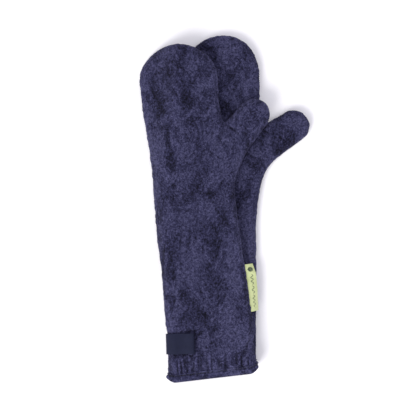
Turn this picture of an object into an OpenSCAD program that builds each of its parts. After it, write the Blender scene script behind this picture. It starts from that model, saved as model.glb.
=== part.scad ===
// A pair of long towelling drying mitts, laid flat with one mitt draped over the other.
// +Y runs from the cuffs to the finger tips, +Z is up, and the pair rests on z = 0.

/* [Mitt] */
// Length from the hem to the finger tip
mitt_length = 544; // [500:1:600]
// Width of the cuff, laid flat
cuff_w = 145; // [138:1:150]
// Width at the wrist, laid flat
wrist_w = 129; // [124:1:132]
// Width across the fingers, laid flat
hand_w = 126; // [120:1:132]
// Width of the thumb, laid flat
thumb_w = 51; // [46:1:54]
// Thickness of one mitt as it lies
loft = 20; // [19:0.5:24]
// Distance from an edge seam over which the mitt rounds off
edge_round = 13; // [11:0.5:16]

/* [Cloth] */
// Thickness of the outer towelling
outer_t = 2.4; // [2:0.1:2.6]
// Thickness of the towelling lining
lining_t = 2.2; // [2:0.1:2.4]
// Radius of the sewing thread
thread_r = 0.4; // [0.3:0.05:0.5]

/* [Cuff hem] */
// How far the turned hem reaches up the sleeve
hem_h = 12; // [8:0.5:12]
// Thickness of the turned towelling
hem_t = 1.2; // [1:0.1:1.3]
// Distance between the starts of two hem stitches
stitch_pitch = 5; // [4:0.5:8]

/* [Hang loop and label] */
// Width of the webbing
webbing_w = 33; // [25:1:38]
// Thickness of the webbing
webbing_t = 1.2; // [0.8:0.1:1.3]
// Length of the folded loop from the seam to its bend
loop_l = 44; // [36:1:48]
// Height of the eye inside the upper mitt's loop
eye_h = 6.5; // [6:0.1:8]
// Length of the label along the seam
label_l = 77; // [60:1:78]
// How far the label stands out of the seam
label_w = 16; // [12:0.5:16.5]
// Thickness of the folded label
label_t = 0.8; // [0.5:0.1:1]

/* [Lay] */
// Turn of the upper mitt, anticlockwise
upper_turn = 6.6; // [5:0.1:8]
// Bend of the lower mitt's hand, clockwise
lower_bend = 4.2; // [3:0.1:5]
// Width of the band over which the upper mitt sags from the lower one to the table
drape = 60; // [50:1:80]

/* [Hidden] */

navy = [0.19, 0.19, 0.33];
navy_lining = [0.14, 0.14, 0.26];
navy_webbing = [0.12, 0.13, 0.26];
navy_thread = [0.10, 0.10, 0.20];
lime = [0.78, 0.84, 0.52];

// How each mitt lies: turn, place of the hem's centre, bend of the hand, crotch, and the centre
// and the angle of the thumb's round tip.
UPPER = [upper_turn, [-18.7, -273], 0, [66.5, 406], [115, 413], 44];
LOWER = [0, [-19.5, -260.8], -lower_bend, [66.5, 398], [119.5, 402.5], 40];

ply_gap = 0.2;                        // air between the outer towelling and the lining
hand_r = hand_w / 2;
thumb_r = thumb_w / 2;
sleeve_shift = 3.4;                   // the sleeve's middle lies this far to the thumb's side
hand_shift = -0.5;                    // and the hand's middle this far
wrist_y = 345;                        // where the left edge is narrowest
knuckle_y = 430;                      // above this the hand has its full width
gusset_y = 285;                       // where the thumb's outer edge leaves the sleeve
lining_in = outer_t + ply_gap;        // inset of the lining's outer skin
cavity_in = lining_in + lining_t;     // inset of the hand's space
mitt_gap = 0.4;                       // air between the two mitts
pinch = 0.8;                          // the plies are flattened to this where the hem holds them
hem_fit = 0.2;                        // air between the hem and the plies that it wraps
bend_from = 170;                      // the lower mitt's bend runs from here
bend_to = 310;                        // to here
loop_y = 61;                          // centre of the loop above the hem
label_y = 137;                        // centre of the label above the hem
label_slope = 33;                     // the label falls this steeply from its seam
root_h = 3;                           // the loop's folds start this far above their seam
rise_x = 22;                          // where the loop's plies part, measured from the seam
clear = 0.4;                          // air between a fold and the cloth that it lies on
flat_eye = 0.3;                       // gap inside the lower loop, pressed flat

// The cloth grid. The loops lie between the rows at 36 and 78.
sleeve_rows = [0, 14, 36, 78, 105, 135, 165, 195, 225, 255, gusset_y];
root_cells = 8;                       // across the thumb's root
palm_rows = [0.12, 0.3, 0.6, 1];      // shares of the way from the crotch to the round finger tip
tip_angles = [15, 28, 39, 45];        // up the rounded tip, to the grid's top side
across = 12;                          // cells across the mitt
thumb_cells = [0.17, 0.37, 0.6, 0.82, 1];
thumb_tip_angles = [20, 36, 45];
gusset_row = len(sleeve_rows) - 1;
crotch_row = gusset_row + root_cells;
rows = crotch_row + len(palm_rows) + len(tip_angles);
thumb_rows = len(thumb_cells) + len(thumb_tip_angles);

function clamp01(t) = min(max(t, 0), 1);
function ease(t) = let(c = clamp01(t)) c * c * (3 - 2 * c);
function mix(a, b, t) = a + (b - a) * t;
function polar(r, a) = [r * cos(a), r * sin(a)];
function bezier(p, t) = let(s = 1 - t)
    s * s * s * p[0] + 3 * s * s * t * p[1] + 3 * s * t * t * p[2] + t * t * t * p[3];
function spread(n) = [for (i = [0 : n]) (1 - cos(180 * i / n)) / 2];   // closer together at both ends
function turned(p, a) = [p.x * cos(a) - p.y * sin(a), p.x * sin(a) + p.y * cos(a)];
function reverse(v) = [for (k = [len(v) - 1 : -1 : 0]) v[k]];
function flipped(f) = [f[0], f[3], f[2], f[1]];

// ---- Outline of a mitt in its own frame: origin at the hem's centre, +Y to the finger tip ----

tip_centre = [hand_shift, mitt_length - hand_r];
function half_width(y) = mix(cuff_w, wrist_w, clamp01(y / wrist_y)) / 2;
function left_x(y) = mix(sleeve_shift - half_width(y), hand_shift - hand_r,
    ease((y - wrist_y) / (knuckle_y - wrist_y)));
function sleeve_right(y) = [sleeve_shift + half_width(y), y];

function crotch(lay) = lay[3];
function thumb_rim(lay, a) = lay[4] + polar(thumb_r, lay[5] + a);
function hand_edge(lay) = let(c = crotch(lay), e = tip_centre + [hand_r, 0])
    [c, c + [-6, 4], [mix(c.x, e.x, 0.5) - 4, mix(c.y, e.y, 0.45)], e];
function thumb_outer_edge(lay) = let(a = sleeve_right(gusset_y), e = thumb_rim(lay, -90))
    [a, a + [0, 47], e - polar(50, lay[5]), e];
function thumb_inner_edge(lay) = let(c = crotch(lay), e = thumb_rim(lay, 90))
    [c, c + [5, 1], mix(c, e, 0.5), e];

// The outline runs clockwise from the hem's left end to its right end.
function outline(lay) = concat(
    [for (y = sleeve_rows) [left_x(y), y]],
    [for (t = spread(root_cells)) if (t > 0) let(y = mix(gusset_y, crotch(lay).y, t)) [left_x(y), y]],
    [for (t = palm_rows) let(y = mix(crotch(lay).y, tip_centre.y, t)) [left_x(y), y]],
    [for (a = tip_angles) tip_centre + polar(hand_r, 180 - a)],
    [for (t = spread(across)) if (t > 0) tip_centre + polar(hand_r, 135 - 90 * t)],
    [for (a = reverse(tip_angles)) if (a < 45) tip_centre + polar(hand_r, a)],
    [for (t = reverse(palm_rows)) bezier(hand_edge(lay), t)],
    [crotch(lay)],
    [for (t = thumb_cells) bezier(thumb_inner_edge(lay), t)],
    [for (a = thumb_tip_angles) thumb_rim(lay, 90 - a)],
    [for (t = spread(root_cells)) if (t > 0) thumb_rim(lay, 45 - 90 * t)],
    [for (a = reverse(thumb_tip_angles)) if (a < 45) thumb_rim(lay, a - 90)],
    [for (t = reverse(thumb_cells)) bezier(thumb_outer_edge(lay), t)],
    [for (y = reverse(sleeve_rows)) sleeve_right(y)]);

function inward(q, k) = let(
        n = len(q) - 1,
        t = k == 0 ? [0, 1] : k == n ? [0, -1] : q[k + 1] - q[k - 1])
    [t.y, -t.x] / norm(t);
function inset(lay, d) = let(q = outline(lay)) [for (k = [0 : len(q) - 1]) q[k] + d * inward(q, k)];

// Places of the grid's corners along the outline.
i_top = rows;
i_right = rows + across;
i_crotch = i_right + rows - crotch_row;
i_thumb = i_crotch + thumb_rows;
i_thumb_end = i_thumb + root_cells;
i_gusset = i_thumb_end + thumb_rows;
i_last = i_gusset + gusset_row;

// ---- The cloth grid that fills an outline ----

function right_point(q, i) =
    i <= gusset_row ? q[i_last - i]
    : i < crotch_row ? mix(q[i_gusset], q[i_crotch], spread(root_cells)[i - gusset_row])
    : q[i_right + rows - i];
// Towards the round end of a grid, its last m rows of n take the end's shape.
function end_weight(i, n, m) = pow(clamp01((i - (n - m)) / m), 1.5);
function body_grid(q) = [
    for (i = [0 : rows]) let(a = q[i], b = right_point(q, i), w = end_weight(i, rows, len(tip_angles)))
        for (j = [0 : across]) let(u = spread(across)[j])
            mix(a, b, u) + w * (q[i_top + j] - mix(q[i_top], q[i_right], u))];
function thumb_grid(q) = [
    for (m = [1 : thumb_rows]) let(
            a = q[i_gusset - m], b = q[i_crotch + m],
            w = end_weight(m, thumb_rows, len(thumb_tip_angles)))
        for (k = [0 : root_cells]) let(s = spread(root_cells)[k])
            mix(a, b, s) + w * (q[i_thumb_end - k] - mix(q[i_thumb_end], q[i_thumb], s))];

function segment_distance(p, a, b) = let(d = b - a)
    norm(p - a - d * clamp01((p - a) * d / (d * d)));
function edge_distance(p, q) = min([for (k = [1 : len(q) - 1]) segment_distance(p, q[k - 1], q[k])]);

// Height of the skin that lies the distance r inside the outer one, d from its own rim.
function skin_height(d, r) = let(t = clamp01(d / (edge_round - r)))
    (loft / 2 - r) * sqrt(1 - (1 - t) * (1 - t));
function skin(lay, r) = let(q = inset(lay, r))
    [for (p = concat(body_grid(q), thumb_grid(q))) [p.x, p.y, skin_height(edge_distance(p, q), r)]];

function body_id(i, j) = i * (across + 1) + j;
function thumb_id(m, k) = m == 0
    ? body_id(gusset_row + k, across)
    : (rows + 1) * (across + 1) + (m - 1) * (root_cells + 1) + k;
// A cell is cut from its first corner to its third, so the corners are listed to cut towards the
// corners of the round ends.
skin_faces = concat(
    [for (i = [0 : rows - 1], j = [0 : across - 1]) j < across / 2
        ? [body_id(i + 1, j), body_id(i + 1, j + 1), body_id(i, j + 1), body_id(i, j)]
        : [body_id(i, j), body_id(i + 1, j), body_id(i + 1, j + 1), body_id(i, j + 1)]],
    [for (m = [0 : thumb_rows - 1], k = [0 : root_cells - 1]) k < root_cells / 2
        ? [thumb_id(m, k + 1), thumb_id(m + 1, k + 1), thumb_id(m + 1, k), thumb_id(m, k)]
        : [thumb_id(m, k), thumb_id(m, k + 1), thumb_id(m + 1, k + 1), thumb_id(m + 1, k)]]);
skin_border = concat(
    [for (i = [0 : rows]) body_id(i, 0)],
    [for (j = [1 : across]) body_id(rows, j)],
    [for (i = [rows - 1 : -1 : crotch_row]) body_id(i, across)],
    [for (m = [1 : thumb_rows]) thumb_id(m, root_cells)],
    [for (k = [root_cells - 1 : -1 : 0]) thumb_id(thumb_rows, k)],
    [for (m = [thumb_rows - 1 : -1 : 0]) thumb_id(m, 0)],
    [for (i = [gusset_row - 1 : -1 : 0]) body_id(i, across)],
    [for (j = [across - 1 : -1 : 1]) body_id(0, j)]);

// ---- How a mitt lies in the pair ----

// Left edge of the lower mitt in the pair's frame, as a gentle curve.
function lower_edge_x(y) = let(t = clamp01((y + 260) / 480)) -88.6 + 4.5 * t + 19 * t * t;
function carried(x, y) = ease((x - lower_edge_x(y) + drape) / (drape - 6));
function is_upper(lay) = lay == UPPER;
function middle_height(lay, p) = loft / 2 + (is_upper(lay) ? (loft + mitt_gap) * carried(p.x, p.y) : 0);

// The lower mitt's underside gives way to its loop, which is folded under it.
loop_press = clear + 2 * webbing_t + flat_eye;
function between(v, a, b, c, d) = min(clamp01((v - a) / (b - a)), clamp01((d - v) / (d - c)));
function press(x, y) = loop_press * between(y, 14, 36, 78, 105) * clamp01((70 - x + left_x(y)) / 16);
function squeeze(y) = mix(pinch, 1, ease((y - 14) / 22));

function bent(lay, p) = let(pivot = [0, (bend_from + bend_to) / 2])
    pivot + turned(p - pivot, lay[2] * ease((p.y - bend_from) / (bend_to - bend_from)));
function placed(lay, p) = turned(bent(lay, p), lay[0]) + lay[1];
// The place of a point that is z above the mitt's middle sheet.
function lie(lay, x, y, z) = let(p = placed(lay, [x, y]))
    [p.x, p.y, middle_height(lay, p) + z + (is_upper(lay) || z >= 0 ? 0 : -press(x, y) * 2 * z / loft)];

// ---- Cloth pieces ----

// One panel between the skins at two insets. side is 1 for the face and -1 for the back.
module panel(lay, side, outer_in, inner_in) {
    points = [for (r = [outer_in, inner_in], p = skin(lay, r))
        lie(lay, p.x, p.y, side * squeeze(p.y) * p.z)];
    n = len(points) / 2;
    m = len(skin_border);
    faces = concat(
        skin_faces,
        [for (f = skin_faces) flipped(f + [n, n, n, n])],
        [for (k = [0 : m - 1]) let(c = skin_border[k], d = skin_border[(k + 1) % m]) [c, c + n, d + n, d]]);
    polyhedron(points, side > 0 ? faces : [for (f = faces) flipped(f)]);
}

// A run of thread round the edge, as a tube.
module edge_thread(lay, r, sides = 5) {
    q = inset(lay, r);
    n = len(q);
    points = [for (k = [0 : n - 1], s = [0 : sides - 1]) let(
            o = polar(thread_r, 360 * s / sides), p = q[k] + o.x * inward(q, k))
        lie(lay, p.x, p.y, o.y)];
    walls = [for (k = [0 : n - 2], s = [0 : sides - 1]) let(e = (s + 1) % sides)
        [k * sides + s, k * sides + e, (k + 1) * sides + e, (k + 1) * sides + s]];
    polyhedron(points, concat(walls, [
        [for (s = [sides - 1 : -1 : 0]) s],
        [for (s = [0 : sides - 1]) (n - 1) * sides + s]]));
}

// Section of the flattened sleeve at the hem, as a closed ring of [x, z].
function cuff_ring(lay, r) = let(
        q = inset(lay, r),
        top = [for (u = spread(across)) let(p = mix(q[0], q[i_last], u))
            [p.x, pinch * skin_height(edge_distance(p, q), r)]])
    concat(top, [for (j = [across - 1 : -1 : 1]) [top[j].x, -top[j].y]]);
function outward(ring, k) = let(n = len(ring), t = ring[(k + 1) % n] - ring[(k + n - 1) % n])
    [-t.y, t.x] / norm(t);

// The turned hem: a channel that wraps the raw ends of all the plies.
module hem_channel(lay) {
    a = cuff_ring(lay, 0);
    b = cuff_ring(lay, cavity_in);
    wrap = hem_fit + hem_t;
    // Corners of the channel's section: the ring measured from, the offset from it, and the
    // height above the hem.
    section = [[a, hem_fit, hem_h], [a, wrap, hem_h], [a, wrap, -wrap], [b, -wrap, -wrap],
        [b, -wrap, hem_h], [b, -hem_fit, hem_h], [b, -hem_fit, -hem_fit], [a, hem_fit, -hem_fit]];
    n = len(a);
    m = len(section);
    points = [for (k = [0 : n - 1], c = section) let(
            p = c[0][k] + c[1] * outward(c[0], k),
            lean = half_width(c[2]) / half_width(0))
        lie(lay, mix(sleeve_shift, p.x, lean), c[2], p.y)];
    polyhedron(points, [for (k = [0 : n - 1], c = [0 : m - 1]) let(e = (k + 1) % n, d = (c + 1) % m)
        [k * m + c, e * m + c, e * m + d, k * m + d]]);
}

module hem_stitches(lay) {
    count = floor((cuff_w - 2 * edge_round) / stitch_pitch);
    surface = pinch * loft / 2 + hem_fit + hem_t;
    for (side = [-1, 1], k = [0 : count - 1]) {
        x = sleeve_shift + (k - (count - 1) / 2) * stitch_pitch;
        translate(lie(lay, x, hem_h - 2, side * (surface + thread_r / 4)))
            rotate([0, 90, lay[0]])
                cylinder(r = thread_r, h = 0.6 * stitch_pitch, center = true, $fn = 24);
    }
}

// ---- Folds that hang from the edge seam ----

// Line at a height h off a rim of half height rim_h, as [distance in from the seam, height].
function rim_line(h, rim_h) = let(start = asin(root_h / rim_h))
    [for (k = [0 : 7]) let(a = mix(start, 90, k / 7), n = [-rim_h * cos(a), edge_round * sin(a)])
        [edge_round * (1 - cos(a)), rim_h * sin(a)] + h * n / norm(n)];

// Section of the folded webbing: it hugs the rim, lies along the face, and turns back over itself.
module loop_section(rim_h, eye) {
    bend = eye / 2 + webbing_t;
    inner = eye / 2;
    centre = [loop_l - bend, rim_h + clear + bend];
    ply = clear + webbing_t;
    steps = [0.2 : 0.2 : 1];
    function falling(from, to) = [for (t = steps)
        [mix(centre.x, rise_x, t), centre.y + mix(from, to, ease(t))]];
    polygon(concat(
        rim_line(clear, rim_h),
        [for (a = [-90 : 15 : 90]) centre + polar(bend, a)],
        falling(bend, 2 * webbing_t + ply_gap - bend),
        reverse(rim_line(ply + ply_gap + webbing_t, rim_h)),
        rim_line(ply + ply_gap, rim_h),
        reverse(falling(inner, ply_gap - inner)),
        [for (a = [90 : -15 : -90]) centre + polar(inner, a)],
        reverse(rim_line(ply, rim_h))));
}

seam_lean = atan((cuff_w - wrist_w) / 2 / wrist_y);   // the sleeve's edges lean inwards this much

// Puts a child drawn as x in from the left seam, y up, z along the seam, onto the left seam.
module at_left_seam(lay, y) {
    translate(lie(lay, left_x(y), y, 0))
        rotate([90, 0, lay[0] - seam_lean])
            children();
}

module upper_hang_loop() {
    color(navy_webbing) at_left_seam(UPPER, loop_y)
        linear_extrude(webbing_w, center = true)
            loop_section(loft / 2, eye_h);
}

module lower_hang_loop() {
    color(navy_webbing) at_left_seam(LOWER, loop_y)
        linear_extrude(webbing_w, center = true)
            mirror([0, 1])
                loop_section(loft / 2 - loop_press, flat_eye);
}

module upper_label() {
    color(lime) translate(lie(UPPER, sleeve_right(label_y).x, label_y, 0))
        rotate([0, 0, upper_turn + seam_lean])
            rotate([0, label_slope, 0])
                translate([clear, -label_l / 2, -label_t / 2])
                    cube([label_w, label_l, label_t]);
}

module upper_outer_face() { color(navy) panel(UPPER, 1, 0, outer_t); }
module upper_outer_back() { color(navy) panel(UPPER, -1, 0, outer_t); }
module upper_lining_face() { color(navy_lining) panel(UPPER, 1, lining_in, cavity_in); }
module upper_lining_back() { color(navy_lining) panel(UPPER, -1, lining_in, cavity_in); }
module upper_edge_seam() { color(navy_thread) edge_thread(UPPER, outer_t / 2); }
module upper_lining_seam() { color(navy_thread) edge_thread(UPPER, lining_in + lining_t / 2); }
module upper_cuff_hem() { color(navy) hem_channel(UPPER); }
module upper_hem_stitching() { color(navy_thread) hem_stitches(UPPER); }
module lower_outer_face() { color(navy) panel(LOWER, 1, 0, outer_t); }
module lower_outer_back() { color(navy) panel(LOWER, -1, 0, outer_t); }
module lower_lining_face() { color(navy_lining) panel(LOWER, 1, lining_in, cavity_in); }
module lower_lining_back() { color(navy_lining) panel(LOWER, -1, lining_in, cavity_in); }
module lower_edge_seam() { color(navy_thread) edge_thread(LOWER, outer_t / 2); }
module lower_lining_seam() { color(navy_thread) edge_thread(LOWER, lining_in + lining_t / 2); }
module lower_cuff_hem() { color(navy) hem_channel(LOWER); }
module lower_hem_stitching() { color(navy_thread) hem_stitches(LOWER); }

upper_outer_face();
upper_outer_back();
upper_lining_face();
upper_lining_back();
upper_edge_seam();
upper_lining_seam();
upper_cuff_hem();
upper_hem_stitching();
upper_hang_loop();
upper_label();
lower_outer_face();
lower_outer_back();
lower_lining_face();
lower_lining_back();
lower_edge_seam();
lower_lining_seam();
lower_cuff_hem();
lower_hem_stitching();
lower_hang_loop();
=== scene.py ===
"""A pair of long navy towelling drying mitts, laid flat with one mitt draped over the other."""
import math

import bmesh
import bpy
import numpy as np
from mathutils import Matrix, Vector


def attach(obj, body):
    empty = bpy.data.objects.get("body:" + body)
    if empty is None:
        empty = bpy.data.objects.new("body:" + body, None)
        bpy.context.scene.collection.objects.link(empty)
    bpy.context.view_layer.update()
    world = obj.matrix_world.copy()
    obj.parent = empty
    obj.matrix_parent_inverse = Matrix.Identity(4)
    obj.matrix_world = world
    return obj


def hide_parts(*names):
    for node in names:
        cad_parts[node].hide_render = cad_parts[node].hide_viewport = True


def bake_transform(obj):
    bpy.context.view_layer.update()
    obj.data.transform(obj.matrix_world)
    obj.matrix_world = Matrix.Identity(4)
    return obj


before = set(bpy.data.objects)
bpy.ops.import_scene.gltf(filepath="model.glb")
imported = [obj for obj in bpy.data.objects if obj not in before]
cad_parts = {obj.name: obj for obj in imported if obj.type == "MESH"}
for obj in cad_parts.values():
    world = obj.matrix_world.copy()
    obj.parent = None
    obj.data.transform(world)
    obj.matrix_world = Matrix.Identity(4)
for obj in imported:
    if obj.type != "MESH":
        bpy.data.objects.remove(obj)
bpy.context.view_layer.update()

# ---- Sizes, in millimetres ----

MM = 0.001  # in metres, the unit of the frame
MITT_LENGTH = 544
CUFF_W, WRIST_W, WRIST_Y = 145, 129, 345
HAND_R, THUMB_R = 63, 25.5
LOFT = 20  # thickness of one mitt as it lies
EDGE_ROUND = 13  # a mitt rounds off over this distance from its seam
OUTER_T, LINING_T = 2.4, 2.2
PLY_GAP = 0.3
SLEEVE_SHIFT, HAND_SHIFT = 3.4, -0.5
KNUCKLE_Y, GUSSET_Y = 430, 285
PINCH = 0.8  # the plies are flattened to this at the hem
HEM_H = 12
HEM_PRESS = 0.9  # the stitched hem presses the towelling in by this much
MITT_GAP = 0.4  # air between the two mitts
ON_FLOOR = 0.03  # the lowest loops of towelling are pressed flat at this height
DRAPE = 60  # this far outside the lower mitt's edge, the upper mitt is down on the floor
LOOP_Y, LOOP_L, WEBBING_W, WEBBING_T = 61, 44, 33, 1.2
LOOP_SKEW = -3.6  # the upper loop doesn't lie quite square to its seam
LOOP_GAP = 0.4  # air between the loop and the cloth that it lies on
PLY_SPACE = 0.2  # air between the loop's two plies at the seam
FLAT_X = 22  # further in than this, the two plies part round the eye
UPPER_EYE, LOWER_EYE = 4.6, 0.3  # how far the loops' plies stand apart at the fold
LOOP_HOLLOW = 3.1  # depth of the hollow in the lower mitt's underside, over its loop
LABEL_Y, LABEL_L, LABEL_W = 137, 77, 16
LABEL_FOLD = 0.32  # half the distance between the label's two plies
LABEL_PLY = 0.36
MOTIF_HALF, MOTIF_RISE = 0.62, 0.14  # half the width of an embroidered line, and half its height
SINK = 0.7  # the towelling gives way by this much under what lies on it
SHORT_TIP = 3.2  # the finger tips are this much shorter than the regular outline
TIP_FROM = 470  # from this height on, the fingers are shortened
PIVOT_Y, BEND_FROM, BEND_OVER = 240, 170, 140  # the hand bends about the pivot, over this stretch
SEAM_ENDS = 16  # the seams' stitches stop this far from the hem
STITCH_Y = HEM_H - 2.1  # height of the hem's row of stitches
CAVITY = OUTER_T + PLY_GAP + LINING_T
TIP = np.array([HAND_SHIFT, MITT_LENGTH - HAND_R])
SEAM_LEAN = math.degrees(math.atan((CUFF_W - WRIST_W) / 2 / WRIST_Y))

CLOTH_FRAMES = 22
CLOTH_GAP = 0.28  # the simulated bag starts flatter by this share of the loft
CLOTH_CAP = 3.2  # the simulation moves no point further than this
CLOTH_RISE = 0.8  # and lifts none off the resting form by more than this
CLOTH_SIDEWAYS = 0.45  # the share of its sideways movement that is kept

# The view and the floor, in metres.
FIELD = 0.678  # width of the camera's view
CAMERA_HEIGHT = 3.5
CAMERA_PLACE = (-0.0277, 0.0008)
FLOOR_HALF = 12.0

# The fine grid of a panel, in cells. The simulation's coarse grid has one cell to COARSE of these.
COARSE = 4
SLEEVE_CELLS, ROOT_CELLS, PALM_CELLS, TIP_CELLS = 192, 88, 52, 36
ACROSS, THUMB_CELLS, THUMB_TIP_CELLS = 96, 56, 16
ROWS = SLEEVE_CELLS + ROOT_CELLS + PALM_CELLS + TIP_CELLS
THUMB_ROWS = THUMB_CELLS + THUMB_TIP_CELLS

HASH_BITS = 0x7FFFFFFF
SIX_SIDES = np.radians(np.arange(0, 360, 60))


class Lay:
    """How one mitt lies: its turn, the place of its hem's centre, the bend of its hand, and its thumb."""

    def __init__(self, name, turn, place, bend, crotch, thumb, thumb_angle, seed):
        self.name, self.turn, self.place, self.bend = name, turn, np.array(place), bend
        self.crotch, self.thumb, self.thumb_angle = np.array(crotch), np.array(thumb), thumb_angle
        self.upper = name == "upper"
        self.body = f"{name}_mitt"
        self.seed = seed

    def node(self, piece):
        return f"{self.name}_{piece}"


UPPER = Lay("upper", 6.6, (-18.7, -273), 0, (66.5, 406), (115, 413), 44, 11)
LOWER = Lay("lower", 0, (-19.5, -260.8), -4.2, (66.5, 398), (119.5, 402.5), 40, 23)


# ---- Small helpers ----

def ease(t):
    c = np.clip(t, 0, 1)
    return c * c * (3 - 2 * c)


def mix(a, b, t):
    return a + (b - a) * t


def polar(r, degrees):
    a = np.radians(degrees)
    return np.stack([r * np.cos(a), r * np.sin(a)], -1)


def bezier(p, t):
    t = np.asarray(t, float)[:, None]
    s = 1 - t
    return s ** 3 * p[0] + 3 * s * s * t * p[1] + 3 * s * t * t * p[2] + t ** 3 * p[3]


def turned(p, degrees):
    a = np.radians(degrees)
    return np.stack([p[..., 0] * np.cos(a) - p[..., 1] * np.sin(a),
                     p[..., 0] * np.sin(a) + p[..., 1] * np.cos(a)], -1)


def lattice(ix, iy, seed):
    """A repeatable value from 0 to 1 at each whole-numbered place."""
    n = ix.astype(np.int64) * 374761393 + iy.astype(np.int64) * 668265263 + seed * 974634777
    n = n & HASH_BITS
    n = ((n ^ (n >> 13)) * 1274126177) & HASH_BITS
    return ((n ^ (n >> 16)) & 0xFFFFFF) / float(0xFFFFFF)


def noise(x, y, seed):
    """Smooth noise from -1 to 1, with features about one unit across."""
    ix, iy = np.floor(x), np.floor(y)
    fx, fy = x - ix, y - iy
    fx, fy = fx * fx * (3 - 2 * fx), fy * fy * (3 - 2 * fy)
    top = mix(lattice(ix, iy + 1, seed), lattice(ix + 1, iy + 1, seed), fx)
    low = mix(lattice(ix, iy, seed), lattice(ix + 1, iy, seed), fx)
    return 2 * mix(low, top, fy) - 1


def layered(x, y, seed, layers):
    """A sum of noises. Each layer has a height, and the size of its features along x and along y."""
    out = 0
    for k, (height, size_x, size_y) in enumerate(layers):
        out = out + height * noise(x / size_x, y / size_y, seed + k)
    return out


def unit(v):
    return v / np.linalg.norm(v, axis=-1, keepdims=True)


def run_along(line):
    """How far along a line each of its points lies."""
    return np.concatenate([[0], np.cumsum(np.linalg.norm(np.diff(line, axis=0), axis=1))])


def at_run(values, run, where):
    """The values that a line's points have, in between them."""
    return np.stack([np.interp(where, run, v) for v in values.T], -1)


# ---- Outline of a mitt, in its own frame: origin at the hem's centre, +Y to the finger tip ----

def half_width(y):
    return mix(CUFF_W, WRIST_W, np.clip(y / WRIST_Y, 0, 1)) / 2


def left_x(y):
    return mix(SLEEVE_SHIFT - half_width(y), HAND_SHIFT - HAND_R,
               ease((y - WRIST_Y) / (KNUCKLE_Y - WRIST_Y)))


def right_x(y):
    return SLEEVE_SHIFT + half_width(y)


def hand_edge(lay):
    """Control points of the curve from the crotch to the widest point of the fingers."""
    c, e = lay.crotch, TIP + [HAND_R, 0]
    return [c, c + [-6, 4], np.array([mix(c[0], e[0], 0.5) - 4, mix(c[1], e[1], 0.45)]), e]


def thumb_rim(lay, a):
    return lay.thumb + polar(THUMB_R, lay.thumb_angle + a)


def thumb_edges(lay):
    """Control points of the two curves that run to the round end of the thumb."""
    a = np.array([right_x(GUSSET_Y), GUSSET_Y])
    outer_end, inner_end = thumb_rim(lay, -90), thumb_rim(lay, 90)
    outer = [a, a + [0, 47], outer_end - polar(50, lay.thumb_angle), outer_end]
    inner = [lay.crotch, lay.crotch + [5, 1], mix(lay.crotch, inner_end, 0.5), inner_end]
    return outer, inner


def share(n):
    return np.linspace(0, 1, n + 1)


def across_share(n):
    """Cells across a panel, half as wide at the rims as in the middle."""
    return 0.5 * share(n) + 0.25 * (1 - np.cos(np.pi * share(n)))


def sides(lay):
    """Left and right side of the body's grid, its top, and the sides and end of the thumb's grid."""
    y_sleeve = GUSSET_Y * share(SLEEVE_CELLS)
    y_root = mix(GUSSET_Y, lay.crotch[1], share(ROOT_CELLS))[1:]
    y_palm = mix(lay.crotch[1], TIP[1], share(PALM_CELLS))[1:]
    y = np.concatenate([y_sleeve, y_root, y_palm])
    a = 45 * share(TIP_CELLS)[1:]
    left = np.concatenate([np.stack([left_x(y), y], -1), TIP + polar(HAND_R, 180 - a)])
    gusset = np.array([right_x(GUSSET_Y), GUSSET_Y])
    right = np.concatenate([
        np.stack([right_x(y_sleeve), y_sleeve], -1),
        mix(gusset, lay.crotch, share(ROOT_CELLS)[1:, None]),
        bezier(hand_edge(lay), share(PALM_CELLS))[1:],
        TIP + polar(HAND_R, a)])
    top = TIP + polar(HAND_R, 135 - 90 * across_share(ACROSS))
    outer_edge, inner_edge = thumb_edges(lay)
    b = 45 * share(THUMB_TIP_CELLS)[1:]
    outer = np.concatenate([bezier(outer_edge, share(THUMB_CELLS)), thumb_rim(lay, b - 90)])
    inner = np.concatenate([bezier(inner_edge, share(THUMB_CELLS)), thumb_rim(lay, 90 - b)])
    end = thumb_rim(lay, -45 + 90 * share(ROOT_CELLS))
    return left, right, top, outer, inner, end


def end_weight(n, m):
    """0 over most of n cells, rising to 1 over the last m, where the grid follows its round end."""
    return np.clip((np.arange(n + 1) - (n - m)) / m, 0, 1) ** 1.5


def grids(lay):
    """The plan of a mitt as two grids of points: rows by columns for the body, and for the thumb."""
    left, right, top, outer, inner, end = sides(lay)
    u = across_share(ACROSS)[None, :, None]
    w = end_weight(ROWS, TIP_CELLS)[:, None, None]
    body = mix(left[:, None], right[:, None], u) + w * (top[None] - mix(top[0], top[-1], u))
    s = share(ROOT_CELLS)[None, :, None]
    w = end_weight(THUMB_ROWS, THUMB_TIP_CELLS)[:, None, None]
    thumb = mix(outer[:, None], inner[:, None], s) + w * (end[None] - mix(end[0], end[-1], s))
    return body, thumb


def rim(lay):
    """The outline from the hem's left end, clockwise, to the hem's right end."""
    left, right, top, outer, inner, end = sides(lay)
    crotch = SLEEVE_CELLS + ROOT_CELLS
    return np.concatenate([
        left, top[1:], right[ROWS - 1:crotch - 1:-1], inner[1:], end[-2::-1],
        outer[-2::-1], right[SLEEVE_CELLS - 1::-1]])


def edge_distance(p, line):
    """Distance of each point from a polyline."""
    flat = p.reshape(-1, 2)
    out = np.empty(len(flat))
    a, d = line[:-1], line[1:] - line[:-1]
    long = (d * d).sum(-1)
    for at in range(0, len(flat), 4096):
        q = flat[at:at + 4096, None] - a[None]
        t = np.clip((q * d).sum(-1) / long, 0, 1)
        out[at:at + 4096] = np.sqrt(((q - d * t[..., None]) ** 2).sum(-1).min(1))
    return out.reshape(p.shape[:-1])


# ---- How a mitt lies in the pair ----

def lower_edge_x(y):
    """Where the lower mitt's left edge lies, in the pair's frame, from its hem to its fingers."""
    t = np.clip((y + 260) / 480, 0, 1)
    return -88.6 + 4.5 * t + 19 * t * t


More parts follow.
